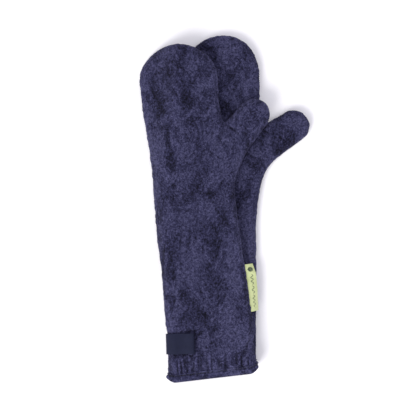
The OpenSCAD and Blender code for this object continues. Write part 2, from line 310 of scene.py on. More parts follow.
def carried(x, y):
    """1 where the upper mitt lies on the lower one, and 0 where it has come down to the floor."""
    return ease((x - lower_edge_x(y) + DRAPE) / (DRAPE - 6))


def middle_height(lay, x, y):
    return LOFT / 2 + ((LOFT + MITT_GAP) * carried(x, y) if lay.upper else 0 * x)


def between(v, a, b, c, d):
    """0 outside a and d, 1 from b to c, and straight slopes between them."""
    return np.minimum(np.clip((v - a) / (b - a), 0, 1), np.clip((d - v) / (d - c), 0, 1))


def loop_press(x, y):
    """How far the lower mitt's underside gives way to the loop that is folded under it."""
    return LOOP_HOLLOW * between(y, 14, 36, 78, 105) * np.clip((70 - x + left_x(y)) / 16, 0, 1)


def squeeze(y):
    """How flat the hem holds the cuff: PINCH at the hem, and 1 from a little above it."""
    return mix(PINCH, 1, ease((y - 14) / 22))


def rounded_corner(x, y):
    """How far the hem draws up at the cuff's two corners."""
    side = 1 - np.clip((half_width(y) - np.abs(x - SLEEVE_SHIFT)) / 13, 0, 1)
    return 6.5 * side ** 2 * (1 - np.clip((y + 2) / 28, 0, 1))


# The shifts that bring the regular outline to the way the photographed pair lies. They were fitted to its
# silhouette: height above the hem, shift of the left edge, shift of the right edge.
STRAY = {
    "upper": [(0, -4.5, -5), (35, -3, -4), (50, -1.5, -3), (65, 0, -1.5), (90, 0, 0), (205, 0, 0),
              (230, -2.5, 0), (260, -2.5, 0), (290, -1, 0), (430, -1.5, 0), (500, -0.5, 0), (544, 0, 0)],
    "lower": [(0, 0, -5), (37, 0, -5), (88, 0, -5.5), (104, 0, -3), (167, 0, -1.6), (216, 0, 0),
              (250, 0, 1.6), (297, 0, 3), (320, 0, 1), (340, 0, 0), (448, 0, 0), (476, 0, -5),
              (508, 0, -7.5), (544, 0, -3)],
}


def stray(lay, x, y):
    """Sideways and lengthwise shift of a point off the regular outline."""
    heights, left, right = np.array(STRAY[lay.name]).T
    low = left_x(y)
    high = np.where(y < WRIST_Y, right_x(y), TIP[0] + HAND_R)
    across = np.clip((x - low) / (high - low), 0, 1)
    aside = mix(np.interp(y, heights, left), np.interp(y, heights, right), across)
    return aside, -SHORT_TIP * ease((y - TIP_FROM) / (MITT_LENGTH - TIP_FROM))


def waviness(lay, x, y):
    """Sideways wander of the cloth, so that no edge is quite straight."""
    return layered(y, x, lay.seed + 80, ((1.0, 34, 90), (0.5, 13, 60)))


def lie(lay, p):
    """Puts points of a mitt's own frame, z above its middle sheet, into the pair's frame."""
    x, y, z = p[..., 0], p[..., 1], p[..., 2]
    pivot = np.array([0, PIVOT_Y])
    aside, along = stray(lay, x, y)
    loose = np.stack([x + waviness(lay, x, y) + aside, y + rounded_corner(x, y) + along], -1)
    q = pivot + turned(loose - pivot, lay.bend * ease((y - BEND_FROM) / BEND_OVER))
    q = turned(q, lay.turn) + lay.place
    give = 0 if lay.upper else np.where(z < 0, -loop_press(x, y) * z / (LOFT / 2), 0)
    return np.stack([q[..., 0], q[..., 1], z + give + middle_height(lay, q[..., 0], q[..., 1])], -1)


# ---- Meshes ----

def make_object(name, points, faces, smooth=True):
    mesh = bpy.data.meshes.new(name)
    points = np.asarray(points, float).reshape(-1, 3) * MM
    faces = np.asarray(faces, np.int32)
    mesh.vertices.add(len(points))
    mesh.vertices.foreach_set("co", points.astype(np.float32).ravel())
    corners = faces.shape[1]
    mesh.loops.add(faces.size)
    mesh.loops.foreach_set("vertex_index", faces.ravel())
    mesh.polygons.add(len(faces))
    mesh.polygons.foreach_set("loop_start", np.arange(0, faces.size, corners, dtype=np.int32))
    mesh.polygons.foreach_set("use_smooth", np.full(len(faces), smooth))
    mesh.update(calc_edges=True)
    mesh.validate()
    piece = bpy.data.objects.new(name, mesh)
    bpy.context.scene.collection.objects.link(piece)
    return piece


def grid_faces(ids):
    """Quads of a grid of vertex numbers, which face up when rows run up and columns to the right."""
    a, b, c, d = ids[:-1, :-1], ids[:-1, 1:], ids[1:, 1:], ids[1:, :-1]
    return np.stack([a, b, c, d], -1).reshape(-1, 4)


def tube_faces(ids):
    """Quads of a row of rings of vertex numbers, each ring closed on itself."""
    return grid_faces(np.concatenate([ids, ids[:, :1]], 1))


def two_skins(faces, loop, n):
    """Faces of the closed solid between two skins of n points, which a wall joins along a loop."""
    c, d = loop, np.roll(loop, -1)
    walls = np.stack([c, d, d + n, c + n], -1)
    return np.concatenate([faces, faces[:, ::-1] + n, walls])


class Panel:
    """The grid of one panel of cloth, with the body's and the thumb's points in one list."""

    def __init__(self, step=1):
        rows, cols = ROWS // step + 1, ACROSS // step + 1
        thumb_rows, root = THUMB_ROWS // step, ROOT_CELLS // step
        gusset = SLEEVE_CELLS // step
        self.step = step
        self.body = np.arange(rows * cols).reshape(rows, cols)
        own = np.arange(thumb_rows * (root + 1)).reshape(thumb_rows, root + 1) + rows * cols
        self.thumb = np.concatenate([self.body[gusset:gusset + root + 1, -1][None], own])
        self.faces = np.concatenate([grid_faces(self.body), grid_faces(self.thumb)[:, ::-1]])
        crotch = gusset + root
        self.mouth = self.body[0]
        self.rim = np.concatenate([
            self.body[:, 0], self.body[-1, 1:], self.body[-2:crotch - 1:-1, -1],
            self.thumb[1:, -1], self.thumb[-1, -2::-1], self.thumb[-2::-1, 0],
            self.body[gusset - 1::-1, -1]])

    def gather(self, body, thumb):
        """Lists the values of the two fine grids in the order of the panel's points."""
        s = self.step
        a, b = body[::s, ::s], thumb[::s, ::s][1:]
        return np.concatenate([a.reshape(-1, *a.shape[2:]), b.reshape(-1, *b.shape[2:])])

    def pick(self, values):
        """The panel's share of a list that is in the fine panel's order."""
        return self.gather(values[FINE.body], values[FINE.thumb])

    def shell(self, outer, inner, side):
        """Points and faces of the closed solid between two skins."""
        faces = two_skins(self.faces, np.concatenate([self.rim, self.mouth[-2:0:-1]]), len(outer))
        return np.concatenate([outer, inner]), faces if side > 0 else faces[:, ::-1]


def normals(points, faces):
    """Unit normals at the points, by the areas of the faces round them."""
    p = points[faces]
    n = np.cross(p[:, 2] - p[:, 0], p[:, 3] - p[:, 1])
    out = np.zeros_like(points)
    for k in range(4):
        np.add.at(out, faces[:, k], n)
    return out / np.maximum(np.linalg.norm(out, axis=1, keepdims=True), 1e-9)


FINE = Panel(1)
MIDDLE = Panel(COARSE // 2)
ROUGH = Panel(COARSE)


# ---- The cloth's resting form ----

def bag_height(d):
    """Height of a bag's skin above its middle sheet, at a distance from its seam."""
    t = np.clip(d / EDGE_ROUND, 0, 1)
    return LOFT / 2 * np.sqrt(np.maximum(1 - (1 - t) ** 2, 0))


def inflate(plan, height):
    """Blows the mitt's bag up a little with Blender's cloth, and returns how far each point of the face
    and of the back moved. The mouth is held by its hem."""
    n = len(plan)
    up = np.concatenate([plan, (1 - CLOTH_GAP) * height[:, None]], 1)
    points = np.concatenate([up, up * [1, 1, -1]])
    back_ids = np.arange(n) + n
    back_ids[ROUGH.rim] = ROUGH.rim
    faces = np.concatenate([ROUGH.faces, back_ids[ROUGH.faces][:, ::-1]])
    used = np.unique(faces)
    place = np.full(2 * n, -1)
    place[used] = np.arange(len(used))
    bag = make_object("bag", points[used], place[faces])
    group = bag.vertex_groups.new(name="hem")
    group.add([int(i) for i in np.flatnonzero(points[used][:, 1] < 1)], 1.0, "REPLACE")
    cloth = bag.modifiers.new("cloth", "CLOTH")
    s = cloth.settings
    s.quality = 6
    s.mass = 0.25
    s.tension_stiffness = s.compression_stiffness = 25
    s.shear_stiffness = 12
    s.bending_stiffness = 2.5
    s.tension_damping = s.compression_damping = s.shear_damping = 15
    s.use_pressure = True
    s.uniform_pressure_force = 2.2
    s.shrink_min = -0.05
    s.vertex_group_mass = "hem"
    s.effector_weights.gravity = 0
    cloth.collision_settings.use_collision = False
    cloth.point_cache.frame_end = CLOTH_FRAMES
    scene = bpy.context.scene
    for frame_number in range(1, CLOTH_FRAMES + 1):
        scene.frame_set(frame_number)
    solved = bag.evaluated_get(bpy.context.evaluated_depsgraph_get())
    co = np.empty(len(used) * 3)
    solved.data.vertices.foreach_get("co", co)
    moved = co.reshape(-1, 3) / MM - points[used]
    bpy.data.objects.remove(bag)
    scene.frame_set(1)
    return moved[place[:n]], moved[place[back_ids]]


def finer(values, rows, cols):
    """Smoothly spreads the values of a coarse grid onto one of rows by cols cells."""
    def along(v, cells):
        at = np.linspace(0, v.shape[0] - 1, cells + 1)
        i = np.clip(np.floor(at).astype(int), 0, v.shape[0] - 2)
        t = (at - i)[(slice(None),) + (None,) * (v.ndim - 1)]
        before, after = np.clip(i - 1, 0, None), np.clip(i + 2, None, v.shape[0] - 1)
        a, b, c, d = v[before], v[i], v[i + 1], v[after]
        square, cube = 2 * a - 5 * b + 4 * c - d, 3 * b - a - 3 * c + d
        return 0.5 * (2 * b + (c - a) * t + square * t ** 2 + cube * t ** 3)
    return np.swapaxes(along(np.swapaxes(along(values, rows), 0, 1), cols), 0, 1)


def spread(moved):
    """Coarse movements of a panel's points as two fine grids."""
    body = finer(moved[ROUGH.body], ROWS, ACROSS)
    thumb = finer(moved[ROUGH.thumb], THUMB_ROWS, ROOT_CELLS)
    thumb[0] = body[SLEEVE_CELLS:SLEEVE_CELLS + ROOT_CELLS + 1, -1]
    return body, thumb


def valley(x, y, a, b, depth, width):
    """A crease from a to b, deepest halfway: how far it sinks the cloth at each point."""
    d = np.array(b, float) - a
    t = np.clip(((x - a[0]) * d[0] + (y - a[1]) * d[1]) / (d @ d), 0, 1)
    off = np.hypot(x - a[0] - t * d[0], y - a[1] - t * d[1])
    return -depth * np.exp(-(off / width) ** 2) * (0.35 + 0.65 * np.sin(np.pi * np.clip(t, 0.04, 0.96)))


# Creases in a mitt's own frame: from, to, depth and width.
CREASES = {
    "upper": [((67, 405), (84, 386), 4.0, 3.2), ((61, 428), (66, 402), 4.0, 3.6),
              ((66, 402), (50, 374), 2.6, 5.0), ((-19, 435), (-30, 350), 0.9, 5.5),
              ((34, 307), (20, 291), 1.0, 4.0), ((18, 84), (6, 82), 0.9, 2.6),
              ((70, 345), (64, 300), 1.0, 5.0), ((84, 372), (98, 388), 0.8, 4.5),
              ((-58, 300), (-46, 286), 0.8, 4.0)],
    "lower": [((64, 396), (80, 388), 1.8, 2.8), ((74, 300), (66, 330), 1.0, 4.5),
              ((72, 215), (60, 232), 0.9, 3.5), ((96, 372), (104, 356), 0.8, 4.0),
              ((20, 470), (10, 430), 0.8, 6.0)],
}
# Layers of noise, each with its height and the size of its features across and along the mitt.
UNDULATION = ((1.5, 62, 95), (1.2, 27, 44), (0.6, 13, 18))
TOWEL_LOOPS = ((0.34, 4.6, 5.6), (0.26, 2.3, 2.3))
EDGE_LOOPS = ((0.55, 5.2, 5.2), (0.35, 2.6, 2.6))
BACK_SEED = 100  # the back draws its noise with its own seeds,
LINING_NOISE_X = 300  # and the lining draws it at its own place


def cloth_seed(lay, side):
    return lay.seed + (0 if side > 0 else BACK_SEED)


def relief(lay, side, x, y, d):
    """Undulation, puckers and creases of the towelling, as a height above its resting form."""
    seed = cloth_seed(lay, side)
    inside = ease(d / 14)
    h = layered(x, y, seed, UNDULATION)
    for a, b, depth, width in CREASES[lay.name]:
        h = h + valley(x, y, a, b, depth, width) * (1 if side > 0 else 0.5)
    h = h * (0.25 + 0.75 * inside)
    # The hem gathers the cloth above it into short upright puckers.
    reach = 30 + 12 * noise(x / 9, 0 * y + 3, seed + 3)
    aside = 0.25 * noise(x / 20, y / 20, seed + 5)
    pucker = np.abs(noise(x / 5.5 + aside, y / 60, seed + 4)) - 0.35
    h = h + 7.0 * pucker * ease((y - 11) / 5) * (1 - ease((y - 14) / reach)) * inside
    # The seam's turned-in edges show as a faint ridge inside the rim.
    ridge = np.exp(-((d - 7.5) / 1.8) ** 2) - 0.9 * np.exp(-((d - 4.2) / 1.6) ** 2)
    return h + 0.32 * ridge * (0.6 + 0.4 * noise(x / 30, y / 30, seed + 6))


def under_upper(x, y):
    """1 where the upper mitt lies on the lower one, fading to 0 at its edge, in the pair's frame."""
    line = rim(UPPER)
    p = turned(np.stack([x, y], -1) - UPPER.place, -UPPER.turn)
    px, py = p.T
    inside = np.zeros(len(p), bool)
    for (ax, ay), (bx, by) in zip(line, np.roll(line, -1, 0)):
        if ay != by:
            inside ^= ((ay > py) != (by > py)) & (px < ax + (py - ay) * (bx - ax) / (by - ay))
    return inside * ease(edge_distance(p, line) / 12)


def under_loop(x, y):
    """1 where the hang loop lies on the cloth, and 0 away from it."""
    near, far = 17, 24
    along = between(y, LOOP_Y - far, LOOP_Y - near, LOOP_Y + near, LOOP_Y + far)
    return along * np.clip((56 - x + left_x(y)) / 10, 0, 1)


def pile(lay, side, x, y, d):
    """The towelling's loops: fine lumps that stand on the cloth's relief, and are lower inside the hem."""
    seed = cloth_seed(lay, side)
    h = layered(x, y, seed + 10, TOWEL_LOOPS)
    h = h + 0.20 * (2 * lattice(np.round(x * 10), np.round(y * 10), seed + 12) - 1)
    edge = layered(x, y, lay.seed + 13, EDGE_LOOPS) + 0.25
    return mix(edge, h, ease(d / 3.5)) * mix(0.25, 1, ease((y - HEM_H) / 2))


class Mitt:
    """The resting form of one mitt: for face and back, the outer skin's points and normals."""

    def __init__(self, lay):
        self.lay = lay
        body, thumb = grids(lay)
        line = rim(lay)
        distance = edge_distance(body, line), edge_distance(thumb, line)
        self.d = FINE.gather(*distance)
        self.plan = FINE.gather(body, thumb)
        moved = self.cloth(body, thumb, distance)
        self.skin = {side: self.form(side, moved[side]) for side in (1, -1)}

    def cloth(self, body, thumb, distance):
        """How far the simulated cloth moves each point of the face (1) and of the back (-1)."""
        plan, height = ROUGH.gather(body, thumb), bag_height(ROUGH.gather(*distance))
        hold = ease((plan[:, 1] - 6) / 30)[:, None] * [CLOTH_SIDEWAYS, CLOTH_SIDEWAYS, 1]
        out = {}
        for side, moved in zip((1, -1), inflate(plan, height)):
            moved = moved + np.concatenate([0 * plan, -side * CLOTH_GAP * height[:, None]], 1)
            long = np.linalg.norm(moved, axis=1, keepdims=True)
            moved = moved * np.minimum(1, CLOTH_CAP / np.maximum(long, 1e-9))
            moved[:, 2] = side * np.clip(side * moved[:, 2], -CLOTH_CAP, CLOTH_RISE)
            out[side] = FINE.gather(*spread(moved * hold))
        return out

    def form(self, side, moved):
        """Points and outward normals of the outer skin of the face (1) or the back (-1)."""
        x, y = self.plan.T
        t = np.clip(self.d / EDGE_ROUND, 0, 1)
        lift = relief(self.lay, side, x, y, self.d) * np.sqrt(t)
        if side < 0:
            lift = np.minimum(0.25 * lift, 0)
        else:
            placed = lie(self.lay, np.stack([x, y, 0 * x], 1))
            flat = under_loop(x, y) if self.lay.upper else under_upper(placed[:, 0], placed[:, 1])
            lift = mix(lift, np.minimum(0.3 * lift, 0) - SINK, flat)
            moved = np.column_stack([moved[:, :2], moved[:, 2] * (1 - flat)])
        lift = lift - HEM_PRESS * t * (1 - ease((y - HEM_H) / 2.5))
        z = side * (bag_height(self.d) + lift) * squeeze(y)
        p = lie(self.lay, np.stack([x, y, z], 1) + moved)
        n = normals(p, FINE.faces if side > 0 else FINE.faces[:, ::-1])
        n[FINE.rim] = self.outward()
        return p, n

    def outward(self):
        """Unit vectors that point out of the outline, one for each point of the rim, in the pair's frame."""
        p = lie(self.lay, np.concatenate([self.plan[FINE.rim], np.zeros((len(FINE.rim), 1))], 1))[:, :2]
        along = np.gradient(p, axis=0)
        return unit(np.stack([-along[:, 1], along[:, 0], 0 * along[:, 0]], 1))


# ---- Materials ----

class Nodes:
    """A short way to build a node material."""

    def __init__(self, name):
        self.material = bpy.data.materials.new(name)
        self.material.use_nodes = True
        self.tree = self.material.node_tree
        self.shader = self.tree.nodes["Principled BSDF"]
        self.place = self.add("ShaderNodeTexCoord").outputs["Object"]

    def add(self, kind, **values):
        node = self.tree.nodes.new(kind)
        for key, value in values.items():
            setattr(node, key, value)
        return node

    def link(self, a, b):
        self.tree.links.new(a, b)

    def stretched(self, scale):
        """The object's coordinates, in metres, multiplied along X, Y and Z."""
        node = self.add("ShaderNodeMapping")
        node.inputs["Scale"].default_value = scale
        self.link(self.place, node.inputs["Vector"])
        return node.outputs["Vector"]

    def texture(self, kind, size_mm, stretch):
        """A texture node with features of that size."""
        node = self.add(kind)
        node.inputs["Scale"].default_value = 1 / (size_mm * MM)
        self.link(self.stretched(stretch), node.inputs["Vector"])
        return node

    def noise(self, size_mm, stretch=(1, 1, 1), detail=2.0, roughness=0.5, distortion=0.0):
        node = self.texture("ShaderNodeTexNoise", size_mm, stretch)
        node.inputs["Detail"].default_value = detail
        node.inputs["Roughness"].default_value = roughness
        node.inputs["Distortion"].default_value = distortion
        return node.outputs["Fac"]

    def cells(self, size_mm, stretch):
        return self.texture("ShaderNodeTexVoronoi", size_mm, stretch).outputs["Distance"]

    def math(self, operation, a, b):
        node = self.add("ShaderNodeMath", operation=operation)
        for socket, value in zip(node.inputs, (a, b)):
            self.fill(socket, value)
        return node.outputs[0]

    def fill(self, socket, value):
        """Sets a socket to a number or a colour, or links another node's output to it."""
        if isinstance(value, tuple):
            socket.default_value = (*value, 1)
        elif isinstance(value, (int, float)):
            socket.default_value = value
        else:
            self.link(value, socket)

    def mixture(self, *shares):
        """The sum of some outputs, each multiplied by its share."""
        total = self.math("MULTIPLY", *shares[0])
        for output_and_share in shares[1:]:
            total = self.math("ADD", total, self.math("MULTIPLY", *output_and_share))
        return total

    def ramp(self, value, stops):
        node = self.add("ShaderNodeValToRGB")
        ramp = node.color_ramp
        while len(ramp.elements) < len(stops):
            ramp.elements.new(0.5)
        for element, (at, colour) in zip(ramp.elements, stops):
            element.position = at
            element.color = (*colour, 1)
        self.link(value, node.inputs["Fac"])
        return node.outputs["Color"]

    def multiplied(self, a, b):
        """Two colours, multiplied."""
        node = self.add("ShaderNodeMix", data_type="RGBA", blend_type="MULTIPLY")
        for name, value in (("Factor", 1.0), ("A", a), ("B", b)):
            self.fill(node.inputs[name], value)
        return node.outputs["Result"]

    def bump(self, height, depth_mm, strength=1.0, after=None):
        node = self.add("ShaderNodeBump")
        node.inputs["Distance"].default_value = depth_mm * MM
        node.inputs["Strength"].default_value = strength
        self.link(height, node.inputs["Height"])
        if after is not None:
            self.link(after, node.inputs["Normal"])
        return node.outputs["Normal"]

    def finish(self, colour, normal, roughness, sheen=0.0, sheen_roughness=0.5, sheen_tint=(1, 1, 1),
               specular=0.2):
        inputs = self.shader.inputs
        self.link(colour, inputs["Base Color"])
        self.link(normal, inputs["Normal"])
        for name, value in (("Roughness", roughness), ("Specular IOR Level", specular),
                            ("Sheen Weight", sheen), ("Sheen Roughness", sheen_roughness),
                            ("Sheen Tint", sheen_tint)):
            self.fill(inputs[name], value)
        return self.material


def towelling(name, dark, middle, light, sheen):
    """Terry towelling: loops about 1.5 mm across, in clumps, on cloth whose nap lies this way and that, with
    painted shade in its hollows.
    """
    m = Nodes(name)
    loops = m.cells(1.7, (1, 0.8, 1))
    clumps = m.noise(4.6, (1, 0.8, 1), detail=3, roughness=0.7)
    tufts = m.noise(2.4, (1, 0.85, 1), detail=2, roughness=0.7)
    nap = m.noise(34, (1, 0.60, 1), detail=7, roughness=0.74, distortion=0.9)
    drift = m.noise(110, (1, 0.7, 1), detail=2)
    crushed = m.math("MULTIPLY", m.math("SUBTRACT", nap, 0.36), 5.5)
    crushed.node.use_clamp = True
    tone = m.mixture((crushed, 0.15), (clumps, 0.30), (tufts, 0.46), (drift, 0.10))
    tone = m.math("SUBTRACT", tone, m.math("MULTIPLY", loops, 0.06))
    colour = m.ramp(tone, [(0.38, dark), (0.50, middle), (0.63, light)])
    # Painted shade: the colour is darkened where the mesh is hollow, by its pointiness, as if shade fell
    # there.
    hollows = m.add("ShaderNodeNewGeometry").outputs["Pointiness"]
    shade = m.ramp(hollows, [(0.465, (0.28, 0.28, 0.31)), (0.50, (0.74, 0.74, 0.74)), (0.535, (1, 1, 1))])
    height = m.math("SUBTRACT", m.math("MULTIPLY", tufts, 0.8), m.math("MULTIPLY", loops, 0.9))
    normal = m.bump(clumps, 3.0, 0.8, after=m.bump(height, 1.4, 0.9))
    return m.finish(m.multiplied(colour, shade), normal, roughness=0.95, sheen=sheen, sheen_roughness=0.55,
                    sheen_tint=(0.62, 0.60, 0.85), specular=0.12)


def webbing(name, dark, middle, light):
    """Herringbone cotton tape."""
    m = Nodes(name)
    rib = m.add("ShaderNodeTexWave", wave_type="BANDS", bands_direction="DIAGONAL")
    rib.inputs["Scale"].default_value = 260
    rib.inputs["Distortion"].default_value = 0.4
    m.link(m.place, rib.inputs["Vector"])
    weave = rib.outputs["Fac"]
    fibre = m.noise(0.6, detail=2)
    tone = m.mixture((weave, 0.45), (fibre, 0.35), (m.noise(9, detail=3), 0.3))
    colour = m.ramp(tone, [(0.25, dark), (0.55, middle), (0.85, light)])
    normal = m.bump(m.math("ADD", weave, fibre), 0.12, 0.7)
    return m.finish(colour, normal, roughness=0.8, sheen=0.04, sheen_roughness=0.4,
                    sheen_tint=(0.6, 0.62, 0.85))


def thread(name, dark, light):
    """Twisted sewing thread."""
    m = Nodes(name)
    twist = m.noise(0.5, (1, 0.5, 1), detail=1)
    colour = m.ramp(twist, [(0.35, dark), (0.65, light)])
    return m.finish(colour, m.bump(twist, 0.1, 0.6), roughness=0.6, sheen=0.1, specular=0.3)


def woven_label(name, dark, light):
    """Satin-woven label: fine weft across, with a little unevenness."""
    m = Nodes(name)
    weft = m.noise(0.7, (1, 4, 1), detail=1)
    warp = m.noise(0.8, (4, 1, 1), detail=1)
    tone = m.mixture((weft, 0.4), (warp, 0.3), (m.noise(14, detail=2), 0.3))
    colour = m.ramp(tone, [(0.35, dark), (0.65, light)])
    normal = m.bump(m.math("ADD", weft, warp), 0.08, 0.6)
    return m.finish(colour, normal, roughness=0.55, sheen=0.1, specular=0.35)


TOWELLING = towelling("navy_towelling", dark=(0.004, 0.004, 0.013), middle=(0.029, 0.029, 0.073),
                      light=(0.080, 0.080, 0.165), sheen=0.05)
LINING = towelling("navy_lining", dark=(0.004, 0.004, 0.012), middle=(0.027, 0.027, 0.066),
                   light=(0.070, 0.070, 0.145), sheen=0.04)
WEBBING = webbing("navy_webbing", dark=(0.003, 0.004, 0.014), middle=(0.005, 0.007, 0.024),
                  light=(0.011, 0.013, 0.036))
THREAD = thread("navy_thread", dark=(0.003, 0.003, 0.010), light=(0.010, 0.011, 0.028))
LABEL = woven_label("lime_label", dark=(0.40, 0.46, 0.20), light=(0.60, 0.66, 0.34))
MOTIF = woven_label("green_weave", dark=(0.008, 0.024, 0.014), light=(0.022, 0.052, 0.028))


def wear(piece, material, slot, body, *replaced):
    """Gives a piece its material and body, and the CAD nodes that it stands for. The slot is not used."""
    piece.data.materials.clear()
    piece.data.materials.append(material)
    if body:
        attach(piece, body)
    if replaced:
        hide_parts(*replaced)
    return piece


# ---- Cloth pieces of a mitt ----

def panel_piece(lay, ply, side, shell, material, slot):
    part = f"{ply}_face" if side > 0 else f"{ply}_back"
    piece = make_object(lay.node(part + "_towelling"), *shell)
    return wear(piece, material, slot, lay.body, lay.node(part))


def outer_panel(mitt, side):
    """The outer panel of the face (1) or the back (-1), with its loops of towelling."""
    lay = mitt.lay
    p, n = mitt.skin[side]
    x, y = mitt.plan.T
    outer = p + n * pile(lay, side, x, y, mitt.d)[:, None]
    outer[:, 2] = np.maximum(outer[:, 2], ON_FLOOR)
    shell = FINE.shell(outer, p - n * OUTER_T, side)
    return panel_piece(lay, "outer", side, shell, TOWELLING, "towelling")


def lining_panel(mitt, side):
    """The lining inside the face (1) or the back (-1), with its loops turned inwards."""
    p, n = (MIDDLE.pick(v) for v in mitt.skin[side])
    x, y = MIDDLE.pick(mitt.plan).T
    inside = OUTER_T + PLY_GAP
    loops = pile(mitt.lay, side, x + LINING_NOISE_X, y, MIDDLE.pick(mitt.d))[:, None]
    shell = MIDDLE.shell(p - n * inside, p - n * (inside + LINING_T + 0.5 * loops), side)
    return panel_piece(mitt.lay, "lining", side, shell, LINING, "lining")


def ring_at(mitt, y):
    """Points and outward normals of the ring round the cuff at a height y above the hem."""
    at = max(y, 0) * SLEEVE_CELLS / GUSSET_Y
    i, t = int(at), at - int(at)
    low, high = FINE.body[i], FINE.body[i + 1]
    points, outs = [], []
    for side in (1, -1):
        p, n = (mix(v[low], v[high], t) for v in mitt.skin[side])
        points.append(p if side > 0 else p[-2:0:-1])
        outs.append(n if side > 0 else n[-2:0:-1])
    down = turned(np.array([0.0, min(y, 0)]), mitt.lay.turn)
    return np.concatenate(points) + np.append(down, 0), unit(np.concatenate(outs))


def inner_ring(lay, inset, y):
    """The ring inside the cuff, at an inset from the resting outer skin."""
    wide, high = half_width(max(y, 0)), PINCH * LOFT / 2
    x = wide * (2 * across_share(ACROSS) - 1)
    t = np.clip((wide - np.abs(x)) / EDGE_ROUND, 0, 1)
    z = (high - inset) * np.sqrt(1 - (1 - t) ** 2)
    x = SLEEVE_SHIFT + x * (wide - inset) / wide
    x, z = np.concatenate([x, x[-2:0:-1]]), np.concatenate([z, -z[-2:0:-1]])
    return lie(lay, np.stack([x, y + 0 * x, z], -1))


def closed_rings(name, rings):
    """A closed piece from rings of points, each joined to the next and the last to the first."""
    ids = np.arange(rings.shape[0] * rings.shape[1]).reshape(rings.shape[:2])
    return sealed(make_object(name, rings, tube_faces(np.concatenate([ids, ids[:1]]))))


def sealed(piece):
    """Fills the open ends of a piece, and turns its faces outwards."""
    work = bmesh.new()
    work.from_mesh(piece.data)
    bmesh.ops.holes_fill(work, edges=[e for e in work.edges if e.is_boundary])
    bmesh.ops.recalc_face_normals(work, faces=work.faces)
    work.to_mesh(piece.data)
    work.free()
    return piece


# The turned hem's section, from its upper edge down the outside: offset from the outer skin, and height
# above the hem. A roll stands below the line of stitches, and a small lip above it.
HEM_OUTSIDE = [(0.3, HEM_H + 0.5), (1.3, HEM_H + 0.9), (1.7, HEM_H + 0.2), (1.3, HEM_H - 0.8),
               (0.4, HEM_H - 1.6), (0.4, HEM_H - 2.6), (1.5, HEM_H - 3.5), (2.4, HEM_H - 4.8),
               (2.8, HEM_H - 6.4), (2.8, 4.2), (2.5, 2.8), (2.0, 1.5), (1.3, 0.4), (0.3, -0.5), (-1.2, -1.0)]
# Down the inside and back up between the plies: inset from the outer skin, and height above the hem.
HEM_INSIDE = [(CAVITY + more, y) for more, y in (
    (-0.9, -1.1), (0.4, -0.6), (1.1, 0.2), (1.3, 1.8), (1.3, HEM_H - 4), (0.8, HEM_H - 2),
    (1.0, HEM_H - 0.7), (0.2, HEM_H), (0.1, 3.0), (0.1, -0.2))] + [(0.2, -0.2), (0.2, 3.0)]
HEM_LUMP = 0.35  # height of the lumps on the hem


def cuff_hem(mitt):
    """The turned hem, as one closed ring. Its outside is lumpy, but for its upper edge."""
    lay = mitt.lay
    rings = []
    for k, (offset, y) in enumerate(HEM_OUTSIDE):
        p, n = ring_at(mitt, y)
        step = np.linalg.norm(np.roll(p, -1, 0) - p, axis=1)
        run = np.cumsum(step) - step
        lump = HEM_LUMP * noise(run / 2.9, k * 0.9 + 0 * run, lay.seed + 50)
        lump = lump + HEM_LUMP * noise(run / 8.5, k * 0.25 + 0 * run, lay.seed + 51)
        rings.append(p + n * (offset + lump * (k > 0))[:, None])
    rings = np.stack(rings + [inner_ring(lay, inset, y) for inset, y in HEM_INSIDE])
    rings[..., 2] = np.maximum(rings[..., 2], ON_FLOOR)
    piece = closed_rings(lay.node("hem_towelling"), rings)
    return wear(piece, TOWELLING, "towelling", lay.body, lay.node("cuff_hem"))


def stitches(name, line, out, length, pitch, radius, lift, ends=0):
    """A row of short bowed stitches along a line, each of which dips into the cloth at both its ends."""
    run = run_along(line)
    count = max(int((run[-1] - 2 * ends) / pitch), 2)
    at = ends + (np.arange(count) + 0.5) * (run[-1] - 2 * ends) / count
    centre, up = at_run(line, run, at), at_run(out, run, at)
    ahead = unit(at_run(line, run, np.minimum(at + 1, run[-1])) - at_run(line, run, np.maximum(at - 1, 0)))
    up = unit(up - ahead * (up * ahead).sum(1, keepdims=True))
    cross = np.cross(ahead, up)
    centre = centre + up * lift
    t = np.linspace(-1, 1, 7)
    rise = radius * (0.5 - 1.8 * t * t)
    fat = radius * np.sqrt(np.maximum(1 - t ** 4, 0.05))
    spine = centre[:, None] + ahead[:, None] * (t * length / 2)[None, :, None]
    spine = spine + up[:, None] * rise[None, :, None]
    ring = cross[:, None] * np.cos(SIX_SIDES)[None, :, None] + up[:, None] * np.sin(SIX_SIDES)[None, :, None]
    points = spine[:, :, None] + ring[:, None] * fat[None, :, None, None]
    ids = np.arange(len(t) * len(SIX_SIDES)).reshape(len(t), -1)
    faces = (np.arange(count)[:, None, None] * ids.size + tube_faces(ids)[None]).reshape(-1, 4)
    return sealed(make_object(name, points, faces))


def hem_stitching(mitt):
    """The row of stitches that holds the hem, in the groove above its roll."""
    p, n = (np.concatenate([v, v[:1]]) for v in ring_at(mitt, STITCH_Y))
    piece = stitches(mitt.lay.node("hem_stitches"), p, n, length=3.3, pitch=4.4, radius=0.5, lift=0.75)
    return wear(piece, THREAD, "thread", mitt.lay.body, mitt.lay.node("hem_stitching"))


def seam_stitches(mitt, name, node, lift):
    """A row of stitches along the rim, from the hem round to the hem, moved out from it by the lift."""
    piece = stitches(mitt.lay.node(name), mitt.skin[1][0][FINE.rim], mitt.outward(),
                     length=2.3, pitch=3.2, radius=0.36, lift=lift, ends=SEAM_ENDS)
    return wear(piece, THREAD, "thread", mitt.lay.body, mitt.lay.node(node))


def edge_seam(mitt):
    """The seam's stitches, which show here and there in the groove between the face and the back."""
    return seam_stitches(mitt, "edge_stitches", "edge_seam", -0.25)


def lining_seam(mitt):
    return seam_stitches(mitt, "lining_stitches", "lining_seam", -(OUTER_T + PLY_GAP + LINING_T / 2))


# ---- Webbing loops and label ----

